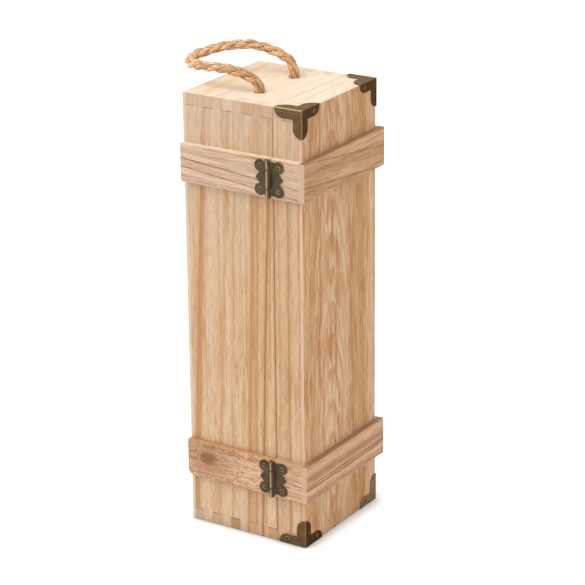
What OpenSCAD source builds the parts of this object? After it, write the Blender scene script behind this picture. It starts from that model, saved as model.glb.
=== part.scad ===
// Wooden box for one wine bottle: a tall tray and a shallow lid that opens like a door.
// It stands on its end. Origin at the middle of the base, +Z up, lid to the front (-Y),
// hinges on the -X side, hooks on the +X side. Lengths are in millimetres.

/* [Box] */
// Width of the wooden box, without the battens
box_w = 105; // [95:1:130]
// Depth of the wooden box with the lid shut, without the battens
box_d = 105; // [95:1:130]
// Height of the wooden box
box_h = 350; // [330:1:400]
// Depth of the lid, from its front face to its opening edge
lid_d = 25.5; // [22:0.5:36]
// Gap between the lid's edge and the tray's edge
lid_gap = 0.4; // [0.3:0.1:0.8]

/* [Boards] */
// Thickness of the side, top and bottom boards
board_t = 9; // [7:0.5:12]
// Thickness of the back panel and of the lid's face panel
panel_t = 2.5; // [2:0.5:5]
// Width of one finger of the corner joints
finger_w = 8.7; // [6:0.1:12]
// Gap left for glue on each side of a finger
glue_gap = 0.1; // [0.05:0.05:0.2]
// How much deeper than the boards are thick the finger sockets are cut
socket_slack = 0.5; // [0.2:0.1:1]

/* [Battens] */
// Height of the battens that go round the box
batten_h = 30; // [29:0.5:34]
// Thickness of the battens
batten_t = 5; // [4:0.5:8]
// Distance from the top of the box down to the upper battens
upper_batten_drop = 38.5; // [28:0.5:60]
// Height of the lower battens' bottom edge above the base
lower_batten_z = 40; // [30:0.5:60]
// Radius of the lower back corner of the upper side battens
upper_corner_r = 2.5; // [1:0.5:6]
// Radius of the lower back corner of the lower side battens
lower_corner_r = 5; // [1:0.5:6]

/* [Hinges] */
// Length of the hinge barrel
barrel_h = 29; // [27:0.5:29]
// Length of each end knuckle, which belongs to the tray's leaf
end_knuckle_h = 7; // [5:0.5:9]
// Outer radius of the knuckles
knuckle_r = 2; // [1.8:0.1:2.4]
// Radius of the hinge pin
hinge_pin_r = 1.1; // [0.8:0.05:1.3]
// Radial clearance between the pin and the lid's knuckle
pin_fit = 0.05; // [0.02:0.01:0.1]
// Thickness of the hinge leaves
leaf_t = 0.8; // [0.5:0.1:1.2]
// Clearance between pieces of the hinge that pass each other
hinge_gap = 0.3; // [0.2:0.05:0.4]
// Radius of the round lobes of a leaf
lobe_r = 4.6; // [4:0.1:5]
// Distance from the pin to the middle of the lobes
lobe_out = 8.1; // [7.5:0.1:10]
// Distance between the middles of a leaf's two lobes
lobe_spacing = 18.4; // [17:0.1:20]
// Distance from the pin to the point between the lobes
leaf_point = 11.9; // [11:0.1:14]
// Distance from the pin to the notches beside the point
leaf_notch = 9; // [8.5:0.1:10]
// Half the height of the point where it leaves the plate
leaf_point_half_h = 3.6; // [3:0.1:4]
// Radius of the notches
leaf_notch_r = 0.9; // [0.5:0.1:1.2]

/* [Nails] */
// Radius of a nail's head
nail_head_r = 1.9; // [1.5:0.1:2.2]
// Height of a nail's head
nail_head_h = 0.7; // [0.5:0.1:1]
// Radius of a nail's shank
nail_r = 0.7; // [0.5:0.05:0.9]
// Depth that a nail goes into the wood
nail_depth = 4.2; // [3:0.1:4.6]
// Radial clearance round a nail's shank
nail_fit = 0.05; // [0.02:0.01:0.1]

/* [Corner brackets] */
// Thickness of the bracket's sheet
bracket_t = 0.7; // [0.5:0.1:1]
// Width of the arms on the side and front faces
side_arm_w = 7.2; // [6:0.1:9]
// Width of the arms on the top and bottom faces
end_arm_w = 9; // [7:0.1:11]
// Length of the upright arm
upright_arm_l = 21.5; // [16:0.5:24]
// Distance from the end of an arm to the lid's opening edge
arm_margin = 2; // [1:0.5:4]
// Distance from a nail's middle to the folded edge
bracket_nail_in = 3.4; // [3:0.1:3.8]

/* [Hooks] */
// Distance from the hook's pivot to the peg that it catches
hook_reach = 20; // [17:0.5:24]
// Distance from the tray's edge back to the hook's pivot
hook_pivot_back = 10; // [7:0.5:11]
// Thickness of the hook
hook_t = 1.5; // [1:0.1:2.5]
// Width of the hook's shank
hook_w = 4.4; // [3.5:0.1:6]
// Radius of the hook's eye
hook_eye_r = 4; // [3.5:0.1:5]
// Radius of the hook's head round the peg
hook_head_r = 5.2; // [5:0.1:6]
// Depth of the hook's mouth below the peg
hook_mouth = 4.2; // [4.1:0.1:5]
// Gap beside the hook, to the batten and to the screw heads
hook_gap = 0.3; // [0.2:0.1:0.5]
// Radius of the pivot screw's shank
screw_r = 1.5; // [1.2:0.1:2]
// Radial clearance between the pivot screw and the hook's eye
screw_fit = 0.06; // [0.02:0.01:0.1]
// Radius of the peg
peg_r = 1.8; // [1.5:0.1:2.2]
// Clearance between the peg and the hook's mouth
peg_gap = 0.5; // [0.3:0.05:0.6]
// Radius of the heads of the pivot screw and the peg
screw_head_r = 3.1; // [2.8:0.1:3.5]
// Height of those heads
screw_head_h = 1.4; // [1:0.1:2]
// Depth that the pivot screw and the peg go into the batten
screw_depth = 3.6; // [3:0.1:3.8]

/* [Rope] */
// Diameter of the rope
rope_d = 7.5; // [6:0.1:8]
// Radial clearance between the rope and its holes
rope_fit = 0.45; // [0.3:0.05:0.8]
// Distance of the rope holes behind the middle of the box
rope_y = 2.5; // [-5:0.5:10]
// Outer radius of the knots
knot_r = 8; // [7:0.5:9]
// Height of the knots
knot_h = 13; // [11:0.5:16]
// Length of rope below each knot
rope_tail = 6; // [3:0.5:12]
// Gap between the rope's flexing loop and its ends in the holes
rope_gap = 0.3; // [0.2:0.05:0.4]

/* [Hidden] */
$fn = 64;

wood = "#D9BC98";
batten_wood = "#C9A37C";
brass = "#6E563B";
worn_brass = "#9A7F55";
jute = "#D9A878";

half_w = box_w / 2;
half_d = box_d / 2;
inner_half_w = half_w - board_t;

// Where the box is sawn into tray and lid
tray_front = -half_d + lid_d;
lid_back = tray_front - lid_gap;
// The finger-jointed frame lies between the two thin panels
frame_front = -half_d + panel_t;
frame_back = half_d - panel_t;
finger_pitch = 2 * finger_w;
most_fingers = ceil(box_d / finger_pitch);

upper_batten_z = box_h - upper_batten_drop - batten_h;
batten_face = half_w + batten_t;
upper_mid_z = upper_batten_z + batten_h / 2;
lower_mid_z = lower_batten_z + batten_h / 2;

// The hinge pin stands off the battens, over the middle of the gap
pin_x = -batten_face - hinge_gap - knuckle_r;
pin_y = tray_front - lid_gap / 2;
leaf_near = knuckle_r + hinge_gap;
leaf_neck = 0.5;
knuckle_z = barrel_h / 2 - end_knuckle_h;

arm_l = lid_d - arm_margin;
bracket_nail_out = arm_l - side_arm_w;

hook_y = tray_front + hook_pivot_back;
peg_y = hook_y - hook_reach;
hook_x = batten_face + hook_gap;
head_x = hook_x + hook_t + hook_gap;

rope_r = rope_d / 2;
hole_r = rope_r + rope_fit;
// The rope flexes just above the board: its loop turns about this height
rope_pivot_z = rope_r + 0.65;
rope_sides = 12;
// Middle of the rope from one hole to the other: x, distance behind the holes, height above the board
rope_route = [
    [-24, 0, 4.4], [-25, 3, 8.5], [-26.5, 9, 12], [-28, 18, 14.5], [-29, 28, 15.5],
    [-29.5, 38.5, 15.5], [-29, 49, 15], [-26, 59, 14.5], [-19, 66, 15], [-9.5, 67.5, 16],
    [0, 63, 18], [9, 56, 20], [17, 47.5, 21], [23.5, 38, 21], [28.5, 28.5, 18.5],
    [30.5, 18.5, 15.5], [30, 9.5, 12], [27, 3, 8.5], [24, 0, 4.4]
];
rope_hole_x = abs(rope_route[0][0]);

// Fingers: the top and bottom boards run out through the side boards

function finger_lo(k, lo) = max(lo, tray_front + k * finger_pitch);
function finger_hi(k, hi) = min(hi, tray_front + k * finger_pitch + finger_w);

module end_board(lo, hi) {
    core = inner_half_w - glue_gap;
    translate([-core, lo, 0])
        cube([2 * core, hi - lo, board_t]);
    for (k = [-most_fingers:most_fingers])
        if (finger_hi(k, hi) > finger_lo(k, lo))
            translate([-half_w, finger_lo(k, lo), 0])
                cube([box_w, finger_hi(k, hi) - finger_lo(k, lo), board_t]);
}

module side_board(lo, hi) {
    depth = board_t + socket_slack;
    difference() {
        translate([-half_w, lo, 0])
            cube([board_t, hi - lo, box_h]);
        for (k = [-most_fingers:most_fingers], z = [-1, box_h - depth])
            if (finger_hi(k, hi) > finger_lo(k, lo))
                translate([-half_w - 1, tray_front + k * finger_pitch - glue_gap, z])
                    cube([board_t + 2, finger_w + 2 * glue_gap, depth + 1]);
    }
}

module panel(y) {
    translate([-half_w, y, 0])
        cube([box_w, panel_t, box_h]);
}

// Nails

module nail_at_origin() {
    translate([0, 0, -nail_depth])
        cylinder(r = nail_r, h = nail_depth);
    cylinder(r = nail_head_r, h = nail_head_h * 0.4);
    translate([0, 0, nail_head_h * 0.4])
        cylinder(r1 = nail_head_r, r2 = nail_head_r * 0.62, h = nail_head_h * 0.6);
}

module nail_hole() {
    translate([0, 0, -nail_depth - nail_fit])
        cylinder(r = nail_r + nail_fit, h = nail_depth + bracket_t + leaf_t + 1);
}

// Places a nail, or a hole for one, on the -X faces: out is the distance from the box's middle
module on_hinge_side(out, y, z) {
    translate([-out, y, z])
        rotate([0, -90, 0])
            children();
}

module on_front(x, z, out) {
    translate([x, -out, z])
        rotate([90, 0, 0])
            children();
}

// direction is 1 for the tray's leaf and -1 for the lid's
module at_hinge_nails(direction, out) {
    for (mid = [upper_mid_z, lower_mid_z], side = [-1, 1])
        on_hinge_side(out, pin_y + direction * lobe_out, mid + side * lobe_spacing / 2)
            children();
}

module at_corner_nails(out) {
    y = -half_d + bracket_nail_out;
    x = half_w - bracket_nail_out;
    for (z = [bracket_t + bracket_nail_in, box_h - bracket_nail_in]) {
        on_hinge_side(half_w + out, y, z)
            children();
        mirror([1, 0, 0])
            on_hinge_side(half_w + out, y, z)
                children();
        for (side = [-1, 1])
            on_front(side * x, z, half_d + out)
                children();
    }
}

// Tray

module back_panel() {
    color(wood)
        panel(frame_back);
}

module tray_side() {
    side_board(tray_front, frame_back);
}

module hinge_side_board() {
    color(wood)
        tray_side();
}

module latch_side_board() {
    color(wood)
        mirror([1, 0, 0])
            tray_side();
}

module top_board() {
    color(wood)
        difference() {
            translate([0, 0, box_h - board_t])
                end_board(tray_front, frame_back);
            for (x = [-rope_hole_x, rope_hole_x])
                translate([x, rope_y, box_h - board_t - 1])
                    cylinder(r = hole_r, h = board_t + 2);
        }
}

module bottom_board() {
    color(wood)
        end_board(tray_front, frame_back);
}

// Battens

module side_batten_outline(corner_r) {
    length = half_d - tray_front;
    difference() {
        square([length, batten_h]);
        translate([length - corner_r, 0])
            square([corner_r, corner_r]);
    }
    translate([length - corner_r, corner_r])
        circle(r = corner_r);
}

// A batten of the tray on the -X side
module tray_batten(z, corner_r) {
    translate([-half_w, tray_front, z])
        rotate([90, 0, -90])
            mirror([1, 0, 0])
                linear_extrude(height = batten_t)
                    side_batten_outline(corner_r);
}

module screw_hole(y, z, r) {
    translate([batten_face + 1, y, z])
        rotate([0, -90, 0])
            cylinder(r = r + nail_fit, h = screw_depth + nail_fit + 1);
}

module tray_hinge_batten(z, corner_r) {
    color(batten_wood)
        difference() {
            tray_batten(z, corner_r);
            at_hinge_nails(1, batten_face)
                nail_hole();
        }
}

module tray_latch_batten(z, corner_r) {
    color(batten_wood)
        difference() {
            mirror([1, 0, 0])
                tray_batten(z, corner_r);
            screw_hole(hook_y, z + batten_h / 2, screw_r);
        }
}

module upper_hinge_side_batten() {
    tray_hinge_batten(upper_batten_z, upper_corner_r);
}

module lower_hinge_side_batten() {
    tray_hinge_batten(lower_batten_z, lower_corner_r);
}

module upper_latch_side_batten() {
    tray_latch_batten(upper_batten_z, upper_corner_r);
}

module lower_latch_side_batten() {
    tray_latch_batten(lower_batten_z, lower_corner_r);
}

module lid_front_batten(z) {
    color(batten_wood)
        translate([-batten_face, -half_d - batten_t, z])
            cube([2 * batten_face, batten_t, batten_h]);
}

module short_batten(z) {
    translate([-batten_face, -half_d, z])
        cube([batten_t, half_d + lid_back, batten_h]);
}

module lid_hinge_batten(z) {
    color(batten_wood)
        difference() {
            short_batten(z);
            at_hinge_nails(-1, batten_face)
                nail_hole();
        }
}

module lid_latch_batten(z) {
    color(batten_wood)
        difference() {
            mirror([1, 0, 0])
                short_batten(z);
            screw_hole(peg_y, z + batten_h / 2, peg_r);
        }
}

module upper_lid_front_batten() {
    lid_front_batten(upper_batten_z);
}

module lower_lid_front_batten() {
    lid_front_batten(lower_batten_z);
}

module upper_lid_hinge_batten() {
    lid_hinge_batten(upper_batten_z);
}

module lower_lid_hinge_batten() {
    lid_hinge_batten(lower_batten_z);
}

module upper_lid_latch_batten() {
    lid_latch_batten(upper_batten_z);
}

module lower_lid_latch_batten() {
    lid_latch_batten(lower_batten_z);
}

// Lid

// Shallow seats under the lid that let the bottom brackets lie flush with the base
module bracket_seats() {
    for (side = [0, 1])
        mirror([side, 0, 0])
            translate([-half_w, -half_d, -1])
                linear_extrude(height = bracket_t + 1)
                    bracket_outline(arm_l, end_arm_w, arm_l, end_arm_w, glue_gap);
}

module lid_piece() {
    color(wood)
        difference() {
            children();
            bracket_seats();
            at_corner_nails(0)
                nail_hole();
        }
}

module lid_side() {
    side_board(frame_front, lid_back);
}

module lid_face_panel() {
    lid_piece()
        panel(-half_d);
}

module lid_hinge_strip() {
    lid_piece()
        lid_side();
}

module lid_latch_strip() {
    lid_piece()
        mirror([1, 0, 0])
            lid_side();
}

module lid_top_strip() {
    lid_piece()
        translate([0, 0, box_h - board_t])
            end_board(frame_front, lid_back);
}

module lid_bottom_strip() {
    lid_piece()
        end_board(frame_front, lid_back);
}

// Hinges, drawn round a pin along Z at the origin, with the leaf on the +Y side

module leaf_outline() {
    height = lobe_spacing + 1.6 * lobe_r;
    translate([leaf_near, -height / 2])
        square([leaf_notch - leaf_near, height]);
    for (side = [-1, 1])
        translate([lobe_out, side * lobe_spacing / 2])
            circle(r = lobe_r);
    polygon([
        [leaf_near, -leaf_point_half_h],
        [leaf_notch, -leaf_point_half_h],
        [leaf_point, 0],
        [leaf_notch, leaf_point_half_h],
        [leaf_near, leaf_point_half_h]
    ]);
}

// The outline with the notches between the lobes and the point rounded out
module leaf_plate_outline() {
    difference() {
        leaf_outline();
        for (side = [-1, 1])
            translate([leaf_notch + leaf_notch_r / 2, side * (leaf_point_half_h + leaf_notch_r / 2)])
                circle(r = leaf_notch_r);
    }
}

module leaf_plate() {
    back = hinge_gap + knuckle_r;
    translate([back - leaf_t, 0, 0])
        rotate([90, 0, 90])
            linear_extrude(height = leaf_t)
                leaf_plate_outline();
}

// One knuckle from z0 to z1, with the neck that joins it to the plate
module knuckle(z0, z1, bore_r) {
    back = hinge_gap + knuckle_r;
    difference() {
        union() {
            translate([0, 0, z0])
                cylinder(r = knuckle_r, h = z1 - z0);
            translate([back - leaf_t, leaf_neck, z0])
                cube([leaf_t, leaf_near + 0.5 - leaf_neck, z1 - z0]);
            translate([0, 0, z0])
                cube([back - leaf_t + 0.01, knuckle_r, z1 - z0]);
        }
        translate([0, 0, z0 - 1])
            cylinder(r = bore_r, h = z1 - z0 + 2);
    }
}

module leaf(direction) {
    color(brass)
        mirror([0, direction > 0 ? 0 : 1, 0])
            difference() {
                union() {
                    leaf_plate();
                    children();
                }
                for (side = [-1, 1])
                    translate([0, lobe_out, side * lobe_spacing / 2])
                        rotate([0, 90, 0])
                            cylinder(r = nail_r + nail_fit, h = knuckle_r + hinge_gap + 1);
            }
}

module tray_leaf(mid) {
    translate([pin_x, pin_y, mid])
        leaf(1) {
            knuckle(-barrel_h / 2, -knuckle_z, hinge_pin_r);
            knuckle(knuckle_z, barrel_h / 2, hinge_pin_r);
        }
}

module lid_leaf(mid) {
    half = knuckle_z - hinge_gap;
    translate([pin_x, pin_y, mid])
        leaf(-1)
            knuckle(-half, half, hinge_pin_r + pin_fit);
}

module hinge_pin(mid) {
    color(worn_brass)
        translate([pin_x, pin_y, mid - barrel_h / 2])
            cylinder(r = hinge_pin_r, h = barrel_h);
}

module upper_hinge_tray_leaf() {
    tray_leaf(upper_mid_z);
}

module lower_hinge_tray_leaf() {
    tray_leaf(lower_mid_z);
}

module upper_hinge_lid_leaf() {
    lid_leaf(upper_mid_z);
}

module lower_hinge_lid_leaf() {
    lid_leaf(lower_mid_z);
}

module upper_hinge_pin() {
    hinge_pin(upper_mid_z);
}

module lower_hinge_pin() {
    hinge_pin(lower_mid_z);
}

module tray_hinge_nails() {
    color(brass)
        at_hinge_nails(1, batten_face + leaf_t)
            nail_at_origin();
}

module lid_hinge_nails() {
    color(brass)
        at_hinge_nails(-1, batten_face + leaf_t)
            nail_at_origin();
}

// Corner brackets: three plates folded over the lid's corner

// One arm along +X from the corner, its end rounded towards the folded edge
module arm(length, width, grow) {
    translate([-bracket_t, -bracket_t])
        square([length - width + bracket_t, width + bracket_t + grow]);
    translate([length - width, -bracket_t])
        square([width + grow, bracket_t]);
    translate([length - width, 0])
        intersection() {
            circle(r = width + grow);
            square(width + grow);
        }
}

module bracket_outline(length_1, width_1, length_2, width_2, grow) {
    arm(length_1, width_1, grow);
    mirror([1, -1])
        arm(length_2, width_2, grow);
}

// The corner is at the origin and the wood fills the +X +Y +Z side of it
module bracket_at_origin() {
    color(brass)
        difference() {
            union() {
                translate([0, 0, -bracket_t])
                    linear_extrude(height = bracket_t)
                        bracket_outline(arm_l, end_arm_w, arm_l, end_arm_w, 0);
                rotate([90, 0, 0])
                    linear_extrude(height = bracket_t)
                        bracket_outline(arm_l, side_arm_w, upright_arm_l, side_arm_w, 0);
                translate([-bracket_t, 0, 0])
                    rotate([90, 0, 90])
                        linear_extrude(height = bracket_t)
                            bracket_outline(arm_l, side_arm_w, upright_arm_l, side_arm_w, 0);
            }
            translate([bracket_nail_out, 1, bracket_nail_in])
                rotate([90, 0, 0])
                    cylinder(r = nail_r + nail_fit, h = bracket_t + 2);
            translate([1, bracket_nail_out, bracket_nail_in])
                rotate([0, -90, 0])
                    cylinder(r = nail_r + nail_fit, h = bracket_t + 2);
        }
}

module top_bracket() {
    translate([-half_w, -half_d, box_h])
        mirror([0, 0, 1])
            bracket_at_origin();
}

module bottom_bracket() {
    translate([-half_w, -half_d, bracket_t])
        bracket_at_origin();
}

module corner_top_hinge_side() {
    top_bracket();
}

module corner_top_latch_side() {
    mirror([1, 0, 0])
        top_bracket();
}

module corner_bottom_hinge_side() {
    bottom_bracket();
}

module corner_bottom_latch_side() {
    mirror([1, 0, 0])
        bottom_bracket();
}

module corner_nails() {
    color(brass)
        at_corner_nails(bracket_t)
            nail_at_origin();
}

// Hooks: they hang from a screw on the tray and drop over a peg on the lid

module ring_sector(inner, outer, sweep) {
    intersection() {
        difference() {
            circle(r = outer);
            circle(r = inner);
        }
        rotate(-sweep)
            square([outer + 1, (outer + 1) * sin(sweep)]);
    }
}

// Drawn as fastened: pivot at the origin, peg at +X, mouth open to -Y
module hook_outline() {
    slot = peg_r + peg_gap;
    tip_mid = hook_reach + (slot + hook_head_r) / 2;
    tip_r = (hook_head_r - slot) / 2;
    difference() {
        union() {
            circle(r = hook_eye_r);
            translate([0, -hook_w / 2])
                square([hook_reach, hook_w]);
            translate([hook_reach, 0])
                circle(r = hook_head_r);
            translate([tip_mid - tip_r, -hook_mouth])
                square([2 * tip_r, hook_mouth]);
            translate([tip_mid, -hook_mouth])
                circle(r = tip_r);
            translate([hook_reach + hook_head_r, hook_head_r * 0.3])
                circle(r = hook_w / 2);
        }
        translate([hook_reach, 0])
            circle(r = slot);
        ring_sector(hook_reach - slot, hook_reach + slot, 30);
        circle(r = screw_r + screw_fit);
    }
}

// Hanging straight down from the pivot, mouth to the back
module hook(mid) {
    color(brass)
        translate([hook_x, hook_y, mid])
            rotate([90, 90, 90])
                linear_extrude(height = hook_t)
                    mirror([0, 1])
                        hook_outline();
}

module round_head_screw(y, mid, r) {
    translate([0, y, mid])
        rotate([0, 90, 0]) {
            translate([0, 0, batten_face - screw_depth])
                cylinder(r = r, h = head_x - batten_face + screw_depth + 0.1);
            translate([0, 0, head_x])
                cylinder(r = screw_head_r, h = screw_head_h * 0.4);
            translate([0, 0, head_x + screw_head_h * 0.4])
                cylinder(r1 = screw_head_r, r2 = screw_head_r * 0.6, h = screw_head_h * 0.6);
        }
}

module upper_hook_screw() {
    color(worn_brass)
        round_head_screw(hook_y, upper_mid_z, screw_r);
}

module lower_hook_screw() {
    color(worn_brass)
        round_head_screw(hook_y, lower_mid_z, screw_r);
}

module upper_peg() {
    color(worn_brass)
        round_head_screw(peg_y, upper_mid_z, peg_r);
}

module lower_peg() {
    color(worn_brass)
        round_head_screw(peg_y, lower_mid_z, peg_r);
}

module upper_hook() {
    hook(upper_mid_z);
}

module lower_hook() {
    hook(lower_mid_z);
}

// Rope handle

// The end of the rope below the flexing loop: through the board, knotted and cut off
module rope_end(x) {
    coil_r = knot_h / 4;
    color(jute)
        translate([x, rope_y, box_h]) {
            translate([0, 0, -board_t - knot_h / 2])
                cylinder(r = rope_r, h = board_t + knot_h / 2 + rope_pivot_z - rope_r - rope_gap);
            translate([0, 0, -board_t - knot_h - rope_tail])
                cylinder(r = rope_r, h = rope_tail + knot_h / 2);
            for (turn = [0, 1])
                translate([0, 0, -board_t - glue_gap - coil_r - turn * 2 * coil_r])
                    rotate_extrude() {
                        square([knot_r - coil_r, coil_r]);
                        translate([0, -coil_r])
                            square([knot_r - coil_r, coil_r]);
                        translate([knot_r - coil_r, 0])
                            circle(r = coil_r);
                    }
        }
}

module rope_end_hinge_side() {
    rope_end(-rope_hole_x);
}

module rope_end_latch_side() {
    rope_end(rope_hole_x);
}

function unit(v) = v / norm(v);

// Point at t between p[i] and p[i + 1] on a smooth curve through all the points
function curve(p, i, t) =
    let (a = p[max(i - 1, 0)], b = p[i], c = p[i + 1], d = p[min(i + 2, len(p) - 1)])
    0.5 * (2 * b + (c - a) * t + (2 * a - 5 * b + 4 * c - d) * t * t
        + (3 * b - a - 3 * c + d) * t * t * t);

function smooth(p) = concat(
    [for (i = [0:len(p) - 2], t = [0, 0.5]) curve(p, i, t)],
    [p[len(p) - 1]]
);

// The rope's rings: each has its middle, its direction and its radius; both ends are rounded
function rope_rings() =
    let (
        line = smooth(rope_route),
        last = len(line) - 1,
        first_way = unit(line[1] - line[0]),
        last_way = unit(line[last] - line[last - 1])
    )
    concat(
        [for (a = [15:25:65]) [line[0] - first_way * rope_r * cos(a), first_way, rope_r * sin(a)]],
        [for (i = [0:last]) [
            line[i], unit(line[min(i + 1, last)] - line[max(i - 1, 0)]), rope_r
        ]],
        [for (a = [65:-25:15]) [line[last] + last_way * rope_r * cos(a), last_way, rope_r * sin(a)]]
    );

module rope_handle() {
    rings = rope_rings();
    sides = rope_sides;
    points = [
        for (ring = rings)
            let (across = unit(cross(ring[1], [0, 0, 1])), up = cross(across, ring[1]))
            for (s = [0:sides - 1])
                ring[0] + ring[2] * (across * cos(360 * s / sides) + up * sin(360 * s / sides))
    ];
    walls = [
        for (i = [0:len(rings) - 2], s = [0:sides - 1])
            let (n = (s + 1) % sides)
            each [
                [i * sides + s, i * sides + n, (i + 1) * sides + n],
                [i * sides + s, (i + 1) * sides + n, (i + 1) * sides + s]
            ]
    ];
    start = [[for (s = [sides - 1:-1:0]) s]];
    finish = [[for (s = [0:sides - 1]) (len(rings) - 1) * sides + s]];
    color(jute)
        translate([0, rope_y, box_h])
            polyhedron(points = points, faces = concat(start, walls, finish));
}

back_panel();
hinge_side_board();
latch_side_board();
top_board();
bottom_board();
upper_hinge_side_batten();
upper_latch_side_batten();
lower_hinge_side_batten();
lower_latch_side_batten();
upper_hinge_tray_leaf();
lower_hinge_tray_leaf();
upper_hinge_pin();
lower_hinge_pin();
tray_hinge_nails();
upper_hook_screw();
lower_hook_screw();
rope_end_hinge_side();
rope_end_latch_side();
lid_face_panel();
lid_hinge_strip();
lid_latch_strip();
lid_top_strip();
lid_bottom_strip();
upper_lid_front_batten();
upper_lid_hinge_batten();
upper_lid_latch_batten();
lower_lid_front_batten();
lower_lid_hinge_batten();
lower_lid_latch_batten();
upper_hinge_lid_leaf();
lower_hinge_lid_leaf();
lid_hinge_nails();
corner_top_hinge_side();
corner_top_latch_side();
corner_bottom_hinge_side();
corner_bottom_latch_side();
corner_nails();
upper_peg();
lower_peg();
upper_hook();
lower_hook();
rope_handle();
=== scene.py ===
"""Looks of the wooden wine box: its boards, battens, metal and rope.

Lengths are in metres, and places in the shaders in millimetres. Colours are linear red, green
and blue.
"""

import math
from dataclasses import dataclass

import bpy
import numpy as np
from mathutils import Matrix, Vector


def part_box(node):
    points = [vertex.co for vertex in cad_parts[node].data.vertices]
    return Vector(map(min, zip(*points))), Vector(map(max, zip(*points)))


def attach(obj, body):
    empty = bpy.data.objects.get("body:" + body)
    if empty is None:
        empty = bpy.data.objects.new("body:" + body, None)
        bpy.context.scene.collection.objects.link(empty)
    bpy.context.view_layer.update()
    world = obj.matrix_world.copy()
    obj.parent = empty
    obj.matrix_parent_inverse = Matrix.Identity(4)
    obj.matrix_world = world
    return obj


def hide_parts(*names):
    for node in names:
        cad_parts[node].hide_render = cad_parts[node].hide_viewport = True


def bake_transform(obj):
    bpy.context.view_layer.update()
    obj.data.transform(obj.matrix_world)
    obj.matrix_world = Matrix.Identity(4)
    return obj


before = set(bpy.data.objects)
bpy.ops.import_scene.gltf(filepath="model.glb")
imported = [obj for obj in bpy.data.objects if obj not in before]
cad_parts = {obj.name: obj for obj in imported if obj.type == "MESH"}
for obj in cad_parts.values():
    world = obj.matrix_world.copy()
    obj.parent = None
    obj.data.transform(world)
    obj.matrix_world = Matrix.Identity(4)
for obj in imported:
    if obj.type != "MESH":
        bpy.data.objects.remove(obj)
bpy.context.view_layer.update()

MM = 0.001
AXES = {"x": 0, "y": 1, "z": 2}

# ---------------------------------------------------------------- camera

CAMERA_AZIMUTH = -57.3763
CAMERA_ELEVATION = 20.2876
CAMERA_ROLL = -0.6042
CAMERA_LENS = 150.446
CAMERA_SENSOR = 36
CAMERA_PLACE = (-1.49277, -0.96499, 0.84079)


def make_camera():
    data = bpy.data.cameras.new("camera")
    data.lens = CAMERA_LENS
    data.sensor_width = CAMERA_SENSOR
    camera = bpy.data.objects.new("camera", data)
    bpy.context.scene.collection.objects.link(camera)
    azimuth, elevation, roll = map(math.radians, (CAMERA_AZIMUTH, CAMERA_ELEVATION, CAMERA_ROLL))
    level = math.cos(elevation)
    back = Vector((math.sin(azimuth) * level, -math.cos(azimuth) * level, math.sin(elevation)))
    level_right = (-back).cross(Vector((0, 0, 1))).normalized()
    level_up = level_right.cross(-back)
    right = math.cos(roll) * level_right + math.sin(roll) * level_up
    up = math.cos(roll) * level_up - math.sin(roll) * level_right
    turn = Matrix((right, up, back)).transposed()
    camera.matrix_world = Matrix.Translation(CAMERA_PLACE) @ turn.to_4x4()
    bpy.context.scene.camera = camera


make_camera()

# ---------------------------------------------------------------- shader building

FACING_FROM, FACING_FULL = 0.6, 0.85


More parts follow.
